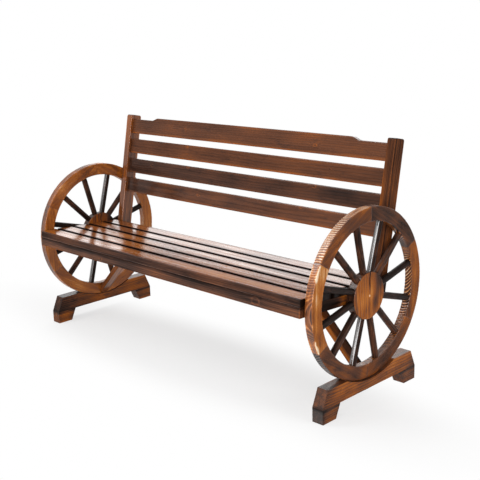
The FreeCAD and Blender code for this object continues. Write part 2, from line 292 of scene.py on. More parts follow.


# lays fibres, year rings, knots, burnt places and painted light and shade over a piece, and brushes the
# soft wood out
def growGrain(piece, along, face, wood, seed, coat, tone=0.0, knots=(), marks=(), groove=None,
              gaps=(1, 1), seams=(), slope=None):
    draw = np.random.default_rng(seed)
    mesh = piece.data
    points = meshPoints(mesh)
    normals = readVectors(mesh.vertex_normals, "vector")
    along, face = unit(along), unit(face)
    across = np.cross(face, along)
    middle = (points.min(0) + points.max(0)) / 2
    # s, t and r run along the piece, across it and out of its face, and v and w start from the pith
    s, t, r = ((points - middle) @ axis for axis in (along, across, face))
    v = t - wood["pith"][0] * draw.choice((-1.0, 1.0)) * draw.uniform(*growth["pithAside"])
    w = r - wood["pith"][1] * draw.uniform(*growth["pithDeep"])

    def ripples(waves, stretch, lean):
        heights = np.zeros(len(points))
        for length, height in waves:
            turns = s / (length * draw.uniform(*stretch)) + draw.uniform(0, 1)
            turns += t * draw.uniform(-lean, lean)
            heights += height * np.sin(2 * math.pi * turns)
        return heights

    wobble = ripples(wood["waves"], growth["waveStretch"], growth["waveLean"])
    if slope is not None:
        wobble += slope(s)
    # surfaces that face up turn paler or darker by the wood's setting for tops; on the seat the paler tops
    # are a painted sheen
    burn = wood["tone"] + tone + wood["top"] * fadeIn(normals[:, 2], *looking["up"])
    burn += ripples(wood["drift"], growth["driftStretch"], growth["driftLean"])
    bendS, bendT = growth["knotBend"]
    for knotS, knotT, size, dark, ring in knots:
        far = ((s - knotS) / (bendS * size)) ** 2 + ((t - knotT) / (bendT * size)) ** 2
        wobble += growth["knotSwell"] * wood["pitch"] * np.exp(-far)
        core = ((s - knotS) / size) ** 2 + ((t - knotT) / (growth["knotFlat"] * size)) ** 2
        burn += dark * bell(core / growth["knotCore"])
        burn -= ring * np.exp(-((core - growth["knotRing"]) ** 2) * growth["knotRingSharp"])
    for place, size, amount in marks:
        far = sum(((way - start) / spread) ** 2 for way, start, spread in zip((s, t, r), place, size))
        burn += amount * np.exp(-far)
    burn += wood["ends"] * np.exp(-(np.abs(s).max() - np.abs(s)) / wood["endReach"])
    burn += wood["endFace"] * fadeIn(np.abs(normals @ along), *looking["endways"])
    # along the edges that face a gap or a joint: on the seat painted shade darkens the wood and dulls its
    # lacquer, on the back slats a painted highlight lightens it, and on the feet the meeting edges of beams
    # and blocks are darkened
    lowEdge = bell((t - t.min()) / growth["edgeReach"])
    highEdge = bell((t.max() - t) / growth["edgeReach"])
    shut = gaps[0] * lowEdge + gaps[1] * highEdge
    burn += wood["edges"] * shut
    gloss = coat(normals) * (1 - np.clip(growth["edgeDull"] * wood["edges"] * shut, 0, 1))
    # the corners are made paler: wear, together with a painted highlight along the edges
    corner = np.abs(t).max() - np.abs(t) + np.abs(r).max() - np.abs(r)
    burn -= wood["wearAndHighlight"] * np.exp(-corner / growth["wearAndHighlightReach"])
    share = ((np.hypot(v, w) + wobble) / wood["pitch"]) % 1.0
    late = np.interp(share, *zip(*ringStops))
    # on the treads the hard ring ridges are painted paler, a painted highlight over the real ring stripes,
    # and the soft wood between them is darker and less glossy
    ridge = wood["ridges"] * (normals @ face) ** 2
    burn -= ridge * (growth["ridgePale"] * late - growth["ridgeDark"])
    gloss *= 1 - growth["ridgeDull"] * np.clip(ridge, 0, 1) * (1 - late)
    depth = wood["relief"] * (1 - late) * (1 + growth["ridgeDeep"] * ridge)
    if groove is not None:
        cut, dark = groove(points, normals)
        depth = depth + cut
        burn = burn + dark
    for start, way in seams:
        held = np.abs((points - start) @ way) < touch
        normals[held] -= np.outer(normals[held] @ way, way)
    placePoints(mesh, points - normals * depth[:, None])
    grain = np.stack([s + growth["seedStep"] * seed, v, w], 1)
    layers = (("grain", "FLOAT_VECTOR", "vector", grain), ("wobble", "FLOAT", "value", wobble),
              ("burn", "FLOAT", "value", burn), ("gloss", "FLOAT", "value", gloss))
    for name, kind, field, values in layers:
        layer = mesh.attributes.new(name, kind, "POINT")
        layer.data.foreach_set(field, values.astype(np.float32).ravel())


smoothBelow = math.radians(42)


def settle(piece, node, finish):
    grab(piece)
    bpy.ops.object.shade_smooth_by_angle(angle=smoothBelow)
    piece.name = node + "_wood"
    piece.data.materials.clear()
    piece.data.materials.append(finish)
    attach(piece, "root")
    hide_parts(node)


# a bar along X about the origin: long edges eased, then split into a fine net
sawn = {"rounds": 3, "endEdge": 0.0012, "endRounds": 2}


def sawnBar(size, edge, cuts):
    bpy.ops.object.select_all(action="DESELECT")
    bpy.ops.mesh.primitive_cube_add(size=1)
    bar = bpy.context.object
    bar.scale = size
    bpy.ops.object.transform_apply(location=False, rotation=False, scale=True)
    bpy.ops.object.mode_set(mode="EDIT")
    pickEdges(bar, runsAlong(0))
    bpy.ops.mesh.bevel(offset=edge, segments=sawn["rounds"])
    pickEdges(bar, lambda e: all(abs(v.co.x) > size[0] / 2 - touch for v in e.verts))
    bpy.ops.mesh.bevel(offset=sawn["endEdge"], segments=sawn["endRounds"])
    splitAlong(bar, 0, size[0] / 2, *cuts[0])
    splitAlong(bar, 1, size[1] / 2, cuts[1])
    splitAlong(bar, 2, size[2] / 2, cuts[2])
    bpy.ops.object.mode_set(mode="OBJECT")
    return bar


# a bar in the place of a node, in a frame turned about X
def barForNode(node, lean, edge, cuts, ends=None):
    turn = Matrix.Rotation(math.radians(lean), 3, "X")
    low, high = boxAlong(node, turn)
    if ends is not None:
        low[0], high[0] = ends
    bar = sawnBar(tuple(high - low), edge, cuts)
    bar.data.transform(Matrix.Translation(turn @ Vector((low + high) / 2)) @ turn.to_4x4())
    return bar, turn


# a copy of a node's own shape, with a net of cuts so that it can take grain
netting = {"weld": 0.00002, "flat": math.radians(0.4)}


def netFromNode(node, turn, steps):
    piece = copyPiece(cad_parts[node], node + "_net")
    low, high = boxAlong(node, turn)
    grab(piece)
    bpy.ops.mesh.customdata_custom_splitnormals_clear()
    bpy.ops.object.mode_set(mode="EDIT")
    bpy.ops.mesh.select_all(action="SELECT")
    bpy.ops.mesh.remove_doubles(threshold=netting["weld"])
    bpy.ops.mesh.dissolve_limited(angle_limit=netting["flat"])
    for axis in range(3):
        count = int(round((high[axis] - low[axis]) / steps[axis]))
        sliceAlong(turn.col[axis], low[axis], high[axis], count)
    bpy.ops.object.mode_set(mode="OBJECT")
    return piece


# seat
# On the seat the paler tops of the slats are a painted sheen, the darkening of the slat edges by the gaps
# is painted shade, and the paler corners are wear with a painted highlight.
seatWood = {
    "pitch": 0.0042, "pith": (0.09, -0.1), "relief": 0.0003, "ridges": 0.0, "bump": 0.0006,
    "rough": 0.3, "ior": 1.02, "coatRough": 0.14, "coatIor": 1.7, "dulled": 2.2,
    "waves": ((1.7, 0.003), (0.5, 0.0008), (0.17, 0.0003)), "drift": ((0.8, 0.05), (0.23, 0.04)),
    "tone": 0.6, "top": -0.27, "ends": 0.08, "endReach": 0.005, "endFace": 0.45, "edges": 0.65, "wearAndHighlight": 0.1,
    "lateDark": 0.1, "streak": 0.75, "fibre": 0.2, "patch": 0.2, "blotch": 0.1, "fleck": 0.25,
}
seat = {"lean": -3.0, "edge": 0.003, "apronEdge": 0.002, "cuts": ((15, 13), 35, 13), "seed": 11,
        "gloss": (0.15, 1.0), "apronGloss": (0.25, 0.0)}
seatCoat = lacquer(*seat["gloss"], alongZ)  # sitting keeps the tops of the slats polished
apronCoat = lacquer(*seat["apronGloss"], alongZ)
seatFinish = woodFinish("seat_wood_finish", seatWood)
seatKnots = {
    "seat_slat_1": ((-0.21, 0.008, 0.008, 0.4, 0.34),),
    "seat_slat_2": ((0.33, -0.012, 0.007, 0.4, 0.34),),
    "seat_slat_4": ((-0.46, 0.01, 0.008, 0.4, 0.34), (0.1, 0.014, 0.006, 0.4, 0.34)),
    "front_apron": ((0.515, 0.001, 0.0165, 0.0, 0.2), (-0.3, -0.004, 0.006, 0.3, 0.2)),
}
# the paler patches on the tops of slats 1 to 3 are a painted sheen; the other marks are the wood's own tone
seatMarksAndSheen = {
    "seat_slat_1": (((0, -0.036, 0), (2, 0.005, 1), 0.16),
                    ((0.1, -0.036, 0.012), (0.6, 0.005, 0.004), 0.08),
                    ((0.4, 0, 0.0135), (0.4, 0.025, 0.004), -0.14),
                    ((0, 0, 0.0135), (0.5, 0.025, 0.004), -0.08)),
    "seat_slat_2": (((-0.5, 0, 0.0135), (0.25, 0.025, 0.004), -0.1),),
    "seat_slat_3": (((-0.5, 0, 0.0135), (0.25, 0.025, 0.004), -0.1),),
    "front_apron": (((0.702, 0, 0), (0.0012, 1, 1), -0.5), ((0.1, 0, 0.016), (0.6, 1, 0.01), 0.02),
                    ((-0.6, 0, 0), (0.3, 1, 1), 0.1), ((0.55, 0, 0), (0.2, 1, 1), 0.1),
                    ((0, 0, 0), (0.3, 1, 1), 0.06)),
}
# which edges of each seat piece face a gap and take the painted shade there
seatGaps = {"seat_slat_1": (0, 1), "seat_slat_5": (1, 0), "front_apron": (0, 0.4)}
seatNodes = ["seat_slat_%d" % n for n in range(1, 6)] + ["front_apron"]
for place, node in enumerate(seatNodes):
    edge = seat["apronEdge"] if node == "front_apron" else seat["edge"]
    bar, turn = barForNode(node, seat["lean"], edge, seat["cuts"])
    face = -turn.col[1] if node == "front_apron" else turn.col[2]
    coat = apronCoat if node == "front_apron" else seatCoat
    growGrain(bar, alongX, face, seatWood, seat["seed"] + place, coat, knots=seatKnots.get(node, ()),
              marks=seatMarksAndSheen.get(node, ()), gaps=seatGaps.get(node, (1, 1)))
    settle(bar, node, seatFinish)
print("seat: five slats and the apron")

# back
# On the back slats the lighter lower edge by the gap is a painted highlight, and the paler corners are wear
# with a painted highlight.
backWood = dict(
    seatWood, pitch=0.006, tone=0.6, top=0.0, relief=0.0002, rough=0.34, ior=1.13, coatIor=1.5,
    drift=((0.8, 0.03), (0.23, 0.02)), ends=0.0, endFace=0.0, edges=-0.12, wearAndHighlight=0.2,
    lateDark=0.06, streak=0.22, fibre=0.12, patch=0.24, fleck=0.08,
)
back = {"lean": -11.0, "edge": 0.003, "into": 0.0006, "rise": 0.011, "shoulder": 0.512, "foot": 0.548,
        "cuts": ((15, 13), 9, 31), "topGloss": 0.6, "seed": 31}
backGloss = {"back_slat_1": 0.3, "back_slat_2": 0.17, "back_slat_3": 0.1, "crest_rail": 0.17}
backTone = {"back_slat_1": 0.01, "back_slat_2": 0.11, "back_slat_3": 0.01, "crest_rail": 0.02}
backFinish = woodFinish("back_wood_finish", backWood)
backKnots = {
    "crest_rail": ((0.358, -0.007, 0.007, 0.1, 0.26), (-0.333, 0.0, 0.006, 0.0, 0.26)),
    "back_slat_3": ((0.438, 0.006, 0.004, 0.4, 0.2), (-0.31, 0.022, 0.006, 0.0, 0.26)),
    "back_slat_2": ((0.375, 0.024, 0.008, 0.1, 0.26), (-0.518, 0.012, 0.007, 0.1, 0.3),
                    (-0.293, 0.026, 0.006, 0.0, 0.3)),
    "back_slat_1": ((-0.216, 0.006, 0.006, 0.1, 0.3), (0.327, 0.027, 0.006, 0.0, 0.3)),
}
backBurns = {
    "crest_rail": (((-0.6, 0.01, 0), (0.08, 0.02, 1), 0.1), ((0.08, 0, 0), (0.12, 1, 1), -0.05),
                   ((0.38, 0, 0), (0.1, 1, 1), -0.05)),
    "back_slat_3": (((-0.5, 0, 0), (0.2, 1, 1), 0.04), ((0.35, 0, 0), (0.12, 1, 1), -0.03)),
    "back_slat_2": (((0.55, 0, 0), (0.12, 1, 1), 0.1), ((0.45, 0.015, 0), (0.05, 0.008, 1), 0.06),
                    ((0.36, 0, 0), (0.1, 1, 1), -0.06), ((-0.66, 0, 0), (0.2, 1, 1), 0.06),
                    ((-0.2, 0, 0), (0.15, 1, 1), 0.05)),
    "back_slat_1": (((-0.66, 0, 0), (0.25, 1, 1), 0.18),),
}
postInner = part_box("right_back_post")[0].x
backEnds = (-postInner - back["into"], postInner + back["into"])


def raiseCrest(bar, turn):
    points = meshPoints(bar.data) @ np.array(turn)
    low, high = points[:, 2].min(), points[:, 2].max()
    ramp = np.clip((back["foot"] - np.abs(points[:, 0])) / (back["foot"] - back["shoulder"]), 0, 1)
    ramp = ramp * ramp * (3 - 2 * ramp)
    share = (points[:, 2] - low) / (high - low)
    points[:, 2] -= (1 - ramp) * share * back["rise"]
    placePoints(bar.data, points @ np.array(turn).T)


for place, node in enumerate(["back_slat_1", "back_slat_2", "back_slat_3", "crest_rail"]):
    bar, turn = barForNode(node, back["lean"], back["edge"], back["cuts"], backEnds)
    if node == "crest_rail":
        raiseCrest(bar, turn)
    coat = lacquer(backGloss[node], back["topGloss"], alongZ)
    growGrain(bar, alongX, -turn.col[1], backWood, back["seed"] + place, coat, tone=backTone[node],
              knots=backKnots[node], marks=backBurns[node], gaps=(1, 0))
    settle(bar, node, backFinish)
print("back: three slats and the crest")

# wheels
wheelWood = {
    "pitch": 0.0025, "pith": (0.06, -0.16), "relief": 0.0005, "ridges": 2.0, "bump": 0.0007,
    "rough": 0.3, "ior": 1.15, "coatRough": 0.2, "coatIor": 1.8, "dulled": 0.0,
    "waves": ((0.33, 0.004), (0.12, 0.0012)), "drift": ((0.26, 0.06), (0.11, 0.04)),
    "tone": 0.34, "top": 0.0, "ends": 0.06, "endReach": 0.005, "endFace": 0.0, "edges": 0.0, "wearAndHighlight": 0.0,
    "lateDark": 0.18, "streak": 0.65, "fibre": 0.25, "patch": 0.45, "blotch": 0.25, "fleck": 0.2,
}
stripedWood = dict(wheelWood, pith=(0.02, -0.16))
flamedWood = {"right_felloe_5": dict(wheelWood, pith=(0.012, -0.16), ridges=1.0)}
plainWood = {"right": wheelWood, "left": dict(wheelWood, ridges=1.0)}
wheel = {
    "edge": 0.003, "rounds": 3, "steps": 220, "acrossCuts": 17, "radialCuts": 35, "felloes": 6,
    "faceBand": 0.0001, "turned": {"right": math.radians(2), "left": 0.0},
    "seed": {"right": 51, "left": 57}, "gloss": {"right": (0.9, 0.04), "left": (0.9, 0.2)},
}
wheelCoat = {side: lacquer(*wheel["gloss"][side], alongX) for side in sides}
wheelFinish = woodFinish("wheel_wood_finish", wheelWood)
rimCorners = [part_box("left_felloe_%d" % (n + 1)) for n in range(wheel["felloes"])]
rimFront = min(low.y for low, high in rimCorners)
rimRear = max(high.y for low, high in rimCorners)
rimFoot = min(low.z for low, high in rimCorners)
rimHead = max(high.z for low, high in rimCorners)
axle = Vector((0, (rimFront + rimRear) / 2, (rimFoot + rimHead) / 2))
rimLow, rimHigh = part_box("right_felloe_1")


def fromAxle(points):
    return np.hypot(points[:, 1] - axle.y, points[:, 2] - axle.z)


rimPoints = meshPoints(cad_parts["right_felloe_1"].data)
borePoints = rimPoints[np.abs(rimPoints[:, 0] - rimLow.x) < wheel["faceBand"]]
rimOuter = fromAxle(rimPoints).max()
rimInner = fromAxle(borePoints).min() - wheel["edge"]
rimMiddle = (rimLow.x + rimHigh.x) / 2
acrossTo = {"right": 0, "left": -2 * rimMiddle}
felloeTurn = 2 * math.pi / wheel["felloes"]


def aboutAxle(angle):
    return Matrix.Translation(axle) @ Matrix.Rotation(-angle, 4, "X") @ Matrix.Translation(-axle)


def outwards(angle):
    return np.array((0, math.sin(angle), math.cos(angle)))


def roundwards(angle):
    return np.cross(outwards(angle), alongX)


def turnFelloe():
    bpy.ops.object.select_all(action="DESELECT")
    top = (rimMiddle, axle.y, axle.z + (rimInner + rimOuter) / 2)
    bpy.ops.mesh.primitive_plane_add(size=1, location=top, rotation=(math.pi / 2, 0, 0))
    felloe = bpy.context.object
    felloe.scale = (rimHigh.x - rimLow.x, rimOuter - rimInner, 1)
    bpy.ops.object.transform_apply(location=True, rotation=True, scale=True)
    bpy.ops.object.mode_set(mode="EDIT")
    bpy.ops.mesh.select_all(action="SELECT")
    bpy.ops.mesh.bevel(offset=wheel["edge"], segments=wheel["rounds"], affect="VERTICES")
    bpy.ops.mesh.delete(type="ONLY_FACE")
    splitAlong(felloe, 0, longEdge, wheel["acrossCuts"])
    splitAlong(felloe, 2, longEdge, wheel["radialCuts"])
    bpy.ops.mesh.select_all(action="SELECT")
    bpy.ops.mesh.spin(steps=wheel["steps"], angle=felloeTurn, center=axle, axis=alongX)
    for angle in (0, felloeTurn):
        way = Vector(roundwards(angle))
        pickEdges(felloe, lambda e: all(abs((v.co - axle).dot(way)) < touch for v in e.verts))
        bpy.ops.mesh.edge_face_add()
    bpy.ops.mesh.select_all(action="SELECT")
    bpy.ops.mesh.remove_doubles(threshold=touch)
    bpy.ops.mesh.normals_make_consistent(inside=False)
    bpy.ops.object.mode_set(mode="OBJECT")
    return felloe


# the two ends of a felloe are eased a little, so that the joint shows, and its outer corner is paler in
# uneven patches: rubbed wood with a painted highlight
joint = {"deep": 0.0006, "reach": 0.0012, "dark": 0.12, "darkReach": 0.002,
         "rubHighlightReach": 0.004, "rubHighlightEven": 0.4, "rubHighlightUneven": 2, "rubHighlightWaves": (57, 23), "rubHighlightShift": 1}


def jointLine(angle, wearAndHighlight, tread):
    def cut(points, normals):
        flat = points - np.array(axle)
        turn = np.arctan2(flat[:, 1], flat[:, 2]) - angle
        turn = np.abs((turn + math.pi) % (2 * math.pi) - math.pi)
        radius = fromAxle(points)
        away = (felloeTurn / 2 - turn) * radius
        aside = np.abs(points[:, 0])
        corner = rimOuter - radius + np.minimum(rimHigh.x - aside, aside - rimLow.x)
        fast, slow = joint["rubHighlightWaves"]
        swing = np.sin(away * fast) * np.sin(away * slow + joint["rubHighlightShift"])
        rubsAndHighlights = np.clip(joint["rubHighlightEven"] + joint["rubHighlightUneven"] * swing, 0, 1)
        dark = joint["dark"] * np.exp(-np.abs(away) / joint["darkReach"])
        dark -= wearAndHighlight * np.exp(-corner / joint["rubHighlightReach"]) * rubsAndHighlights
        facing = np.sum(normals[:, 1:] * flat[:, 1:], 1) / radius
        dark += tread * fadeIn(facing, *looking["outwards"])
        return joint["deep"] * np.exp(-np.abs(away) / joint["reach"]), dark
    return cut


# rings that follow the rim and climb out of it, so that the tread shows even stripes
def acrossTread(amount):
    def climb(s):
        return amount * s + rimOuter - np.sqrt(rimOuter ** 2 - s ** 2)
    return climb if amount else None


# how far each felloe was charred, from the top towards the rear, how far its outer corner is lightened by
# rubbing and a painted highlight, and its burnt or bare places
felloeTone = {
    "right": (0.3, 0.0, 0.12, 0.07, -0.17, 0.08),
    "left": (-0.12, -0.1, 0.0, -0.02, -0.1, -0.08),
}
felloeWearAndHighlight = {"right": (0.1, 0.1, 0.1, 0.1, 0.7, 0.25), "left": (0.15, 0.1, 0.1, 0.1, 0.15, 0.25)}
felloeTread = {"right": (0.0, 0.0, 0.0, 0.4, 0.21, -0.16), "left": (0.0, 0.0, 0.0, 0.0, 0.28, 0.16)}
felloeSlope = {"right": (0.0, 0.25, 0.3, 0.3, 0.0, 0.33), "left": (0.0,) * 6}
felloeBurns = {
    "right_felloe_1": (((0.02, -0.015, -0.01), (0.09, 0.02, 0.006), -0.25),
                       ((-0.08, -0.015, 0), (0.06, 0.02, 0.03), 0.1)),
    "right_felloe_2": (((-0.1, -0.015, -0.03), (0.03, 0.02, 0.012), 0.35),
                       ((0.06, -0.015, -0.02), (0.05, 0.02, 0.008), 0.25)),
    "right_felloe_3": (((0.05, -0.015, 0.02), (0.06, 0.03, 0.02), 0.12),),
    "right_felloe_4": (((0.09, 0, 0.01), (0.06, 0.05, 0.03), 0.3),
                       ((-0.12, -0.015, 0), (0.02, 0.03, 0.03), -0.15)),
    "right_felloe_5": (((-0.03, -0.015, 0.02), (0.09, 0.03, 0.005), -0.15),
                       ((0.05, -0.015, -0.02), (0.07, 0.03, 0.008), 0.15),
                       ((-0.1, -0.015, 0), (0.06, 0.03, 0.05), 0.1)),
    "right_felloe_6": (((0.1, -0.015, -0.02), (0.05, 0.03, 0.02), 0.25),
                       ((-0.03, -0.015, 0), (0.06, 0.03, 0.006), -0.15)),
    "left_felloe_1": (((-0.06, 0, 0), (0.06, 0.05, 0.03), 0.2),),
    "left_felloe_6": (((0.09, 0, 0), (0.05, 0.05, 0.03), 0.06),),
}
firstFelloe = turnFelloe()
for side in sides:
    for n in range(wheel["felloes"]):
        node = "%s_felloe_%d" % (side, n + 1)
        felloe = copyPiece(firstFelloe, node + "_cut")
        start = n * felloeTurn + wheel["turned"][side]
        middle, end = start + felloeTurn / 2, start + felloeTurn
        felloe.data.transform(Matrix.Translation((acrossTo[side], 0, 0)) @ aboutAxle(start))
        wood = stripedWood if felloeSlope[side][n] else flamedWood.get(node, plainWood[side])
        growGrain(felloe, roundwards(middle), outwards(middle), wood, wheel["seed"][side] + n,
                  wheelCoat[side], tone=felloeTone[side][n], marks=felloeBurns.get(node, ()),
                  groove=jointLine(middle, felloeWearAndHighlight[side][n], felloeTread[side][n]),
                  slope=acrossTread(felloeSlope[side][n]),
                  seams=[(axle, roundwards(angle)) for angle in (start, end)])
        settle(felloe, node, wheelFinish)
discard(firstFelloe)
print("wheels: twelve felloes")

# hubs
hubWood = dict(
    wheelWood, pitch=0.004, pith=(0.09, -0.1), relief=0.0005, ridges=0.0, tone=0.27, streak=0.8, ends=0.0,
    waves=((0.4, 0.0015), (0.12, 0.0004)),
)
hub = {
    "edge": 0.003, "rounds": 3, "round": 144, "steps": (0.004, 0.0013, 0.006),
    "crackWide": 0.002, "crackDeep": 0.0025, "crackAside": 0.001, "crackBend": 0.0016, "crackWave": 90,
    "crackLean": 0.03, "crackFrom": 0.004, "crackOver": 0.05,
    "spot": 0.004, "spotPale": 0.5, "sideDark": 0.35, "gloss": (0.25, 0.04),
    "marks": (((0.045, -0.062, 0), (0.05, 0.026, 1), 0.5), ((-0.03, -0.03, 0), (0.03, 0.018, 1), 0.25),
              ((0, 0.072, 0), (0.08, 0.01, 1), 0.2)),
    "seed": {"right": 71, "left": 72}, "tone": {"right": 0.0, "left": 0.12},
}
hubCoat = lacquer(*hub["gloss"], alongX)
hubFinish = woodFinish("hub_wood_finish", hubWood)
hubLow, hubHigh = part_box("right_hub")
hubMiddle = (hubLow + hubHigh) / 2  # a little under the wheel's own middle


def turnHub():
    bpy.ops.object.select_all(action="DESELECT")
    radius = (hubHigh.y - hubLow.y) / 2
    bpy.ops.mesh.primitive_cylinder_add(vertices=hub["round"], radius=radius, depth=hubHigh.x - hubLow.x,
                                        location=hubMiddle, rotation=(0, math.pi / 2, 0))
    made = bpy.context.object
    bpy.ops.object.transform_apply(location=True, rotation=True, scale=True)
    bpy.ops.object.mode_set(mode="EDIT")
    ends = (hubLow.x, hubHigh.x)
    pickEdges(made, lambda e: any(all(abs(v.co.x - x) < touch for v in e.verts) for x in ends))
    bpy.ops.mesh.bevel(offset=hub["edge"], segments=hub["rounds"])
    for axis, step in enumerate(hub["steps"]):
        normal = Vector([float(axis == a) for a in range(3)])
        sliceAlong(normal, hubLow[axis], hubHigh[axis], int((hubHigh[axis] - hubLow[axis]) / step))
    bpy.ops.object.mode_set(mode="OBJECT")
    return made


def hubCrack(points, normals):
    aside, up = points[:, 1] - hubMiddle.y, points[:, 2] - hubMiddle.z
    line = hub["crackAside"] + hub["crackBend"] * np.sin(up * hub["crackWave"]) + hub["crackLean"] * up
    near = bell((aside - line) / hub["crackWide"]) * fadeIn(up, hub["crackFrom"], hub["crackOver"])
    centre = np.exp(-(aside ** 2 + up ** 2) / hub["spot"] ** 2)
    edge = np.clip(1 - 2 * np.abs(normals[:, 0]), 0, 1)
    return hub["crackDeep"] * near, near - hub["spotPale"] * centre + hub["sideDark"] * edge


firstHub = turnHub()
for side in sides:
    made = copyPiece(firstHub, side + "_hub_cut")
    if side == "left":
        made.data.transform(Matrix.Translation((-2 * hubMiddle.x, 0, 0)))
    growGrain(made, alongZ, alongX, hubWood, hub["seed"][side], hubCoat, tone=hub["tone"][side],
              marks=hub["marks"], groove=hubCrack)
    settle(made, side + "_hub", hubFinish)
discard(firstHub)
print("hubs")

# spokes
spokeWood = dict(
    wheelWood, pitch=0.003, pith=(0.004, -0.02), relief=0.00005, ridges=0.0, tone=0.12, ends=0.1,
    coatRough=0.13, coatIor=2.4, waves=((0.2, 0.002), (0.07, 0.0006)), drift=((0.16, 0.05), (0.06, 0.04)),
    lateDark=0.12, patch=0.3,
)
spoke = {"round": 32, "cuts": 45, "first": math.radians(15), "seed": {"right": 101, "left": 113},
         "dull": 0.016, "bright": 1.0, "brightOnes": (0, 6),
         "tone": (0.74, 0.62, 0.84, 0.74, 0.6, 0.6, 0.74, 0.62, 0.84, 0.82, 0.64, 0.62)}
spokeFinish = woodFinish("spoke_wood_finish", spokeWood)
spokePoints = meshPoints(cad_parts["right_spokes_1"].data)
spokeRadius = (spokePoints[:, 0].max() - spokePoints[:, 0].min()) / 2
spokeReach = fromAxle(spokePoints)
spokeSpan = (spokeReach.min(), math.sqrt(spokeReach.max() ** 2 - spokeRadius ** 2))


def turnSpoke():
    bpy.ops.object.select_all(action="DESELECT")
    centre = (rimMiddle, axle.y, axle.z + sum(spokeSpan) / 2)
    bpy.ops.mesh.primitive_cylinder_add(vertices=spoke["round"], radius=spokeRadius,
                                        depth=spokeSpan[1] - spokeSpan[0], location=centre)
    made = bpy.context.object
    bpy.ops.object.transform_apply(location=True, rotation=True, scale=True)
    bpy.ops.object.mode_set(mode="EDIT")
    splitAlong(made, 2, longEdge, spoke["cuts"])
    bpy.ops.object.mode_set(mode="OBJECT")
    return made


firstSpoke = turnSpoke()
for side in sides:
    for n in range(wheel["felloes"]):
        pair = []
        for k in (2 * n, 2 * n + 1):
            angle = spoke["first"] + k * felloeTurn / 2 + wheel["turned"][side]
            one = copyPiece(firstSpoke, "%s_spoke_%d" % (side, k))
            one.data.transform(Matrix.Translation((acrossTo[side], 0, 0)) @ aboutAxle(angle))
            weight = spoke["bright"] if k in spoke["brightOnes"] else spoke["dull"]
            growGrain(one, outwards(angle), alongX, spokeWood, spoke["seed"][side] + k,
                      lacquer(spoke["dull"], weight, alongY), tone=spoke["tone"][k])
            pair.append(one)
        grab(pair[0])
        pair[1].select_set(True)
        bpy.ops.object.join()
        settle(pair[0], "%s_spokes_%d" % (side, n + 1), spokeFinish)
discard(firstSpoke)
print("spokes: twelve to a wheel")

# posts, frame and feet keep the joints of their nodes
# the paler corners of the posts, rails, braces and feet are wear with a painted highlight
postWood = dict(
    seatWood, pitch=0.005, pith=(0.06, -0.06), tone=0.56, top=0.1, rough=0.32, ior=1.05, coatIor=1.5,
    drift=((0.8, 0.03), (0.23, 0.03)), ends=0.05, endFace=0.15, edges=0.0, wearAndHighlight=0.4, patch=0.14,
)
frameWood = dict(postWood, tone=0.5, top=0.0, wearAndHighlight=0.1)
footWood = dict(
    wheelWood, pitch=0.0044, pith=(0.1, -0.1), relief=0.0004, ridges=0.0, tone=0.33, top=0.26, coatIor=1.5,
    waves=((0.5, 0.002), (0.2, 0.0006)), ends=0.22, endReach=0.05, edges=0.4, wearAndHighlight=0.12,
)
postLook = (postWood, woodFinish("post_wood_finish", postWood), "post_wood")
frameLook = (frameWood, woodFinish("frame_wood_finish", frameWood), "frame_wood")
footLook = (footWood, woodFinish("foot_wood_finish", footWood), "foot_wood")
timber = {"braceLean": 45, "sideGloss": 0.06, "topGloss": 0.5, "seed": 141}
frameGloss = {"right_back_post": 0.02, "left_back_post": 0.85, "left_knee_brace": 0.5}
frontGloss = {"right_front_foot_block": 1.0, "right_foot_beam": 0.65}
# the right side rail is darkened as painted shade under the seat, and the right knee brace is lightened as
# painted light where it stands in shade
frameTone = {
    "right_side_rail": 0.42, "right_knee_brace": -0.22, "right_rear_foot_block": 0.06,
    "left_foot_beam": 0.18, "left_back_post": -0.1, "left_knee_brace": -0.05,
}
# the dark band along the upper face of the right knee brace is a painted shadow of the seat; the other
# marks are the wood's own tone
frameMarksAndShade = {
    "left_foot_beam": (((0.16, 0, 0), (0.11, 1, 1), -0.2),),
    "right_side_rail": (((-0.02, 0, 0), (0.025, 1, 1), -0.5),),
    "right_foot_beam": (((-0.28, 0, 0), (0.028, 1, 1), 0.3), ((-0.2, 0, 0), (0.035, 1, 1), 0.12)),
    "right_front_foot_block": (((-0.05, 0, 0), (0.016, 1, 1), 0.36),),
    "right_knee_brace": (((0, 0, -0.018), (1, 1, 0.004), 0.08), ((0, 0, 0.018), (1, 1, 0.007), 0.3),
                         ((0, -0.02, 0), (1, 0.003, 1), 0.17), ((0.15, -0.02, 0), (0.12, 0.003, 1), 0.2)),
    "right_back_post": (((0, 0, -0.027), (1, 1, 0.004), 0.08),
                        ((0, 0.016, -0.018), (1, 0.004, 0.004), 0.22)),
}
frameGaps = {"foot_beam": (0.4, 0), "foot_block": (0, 1)}
level = Matrix.Identity(3)
postLean = Matrix.Rotation(math.radians(back["lean"]), 3, "X")
seatLean = Matrix.Rotation(math.radians(seat["lean"]), 3, "X")
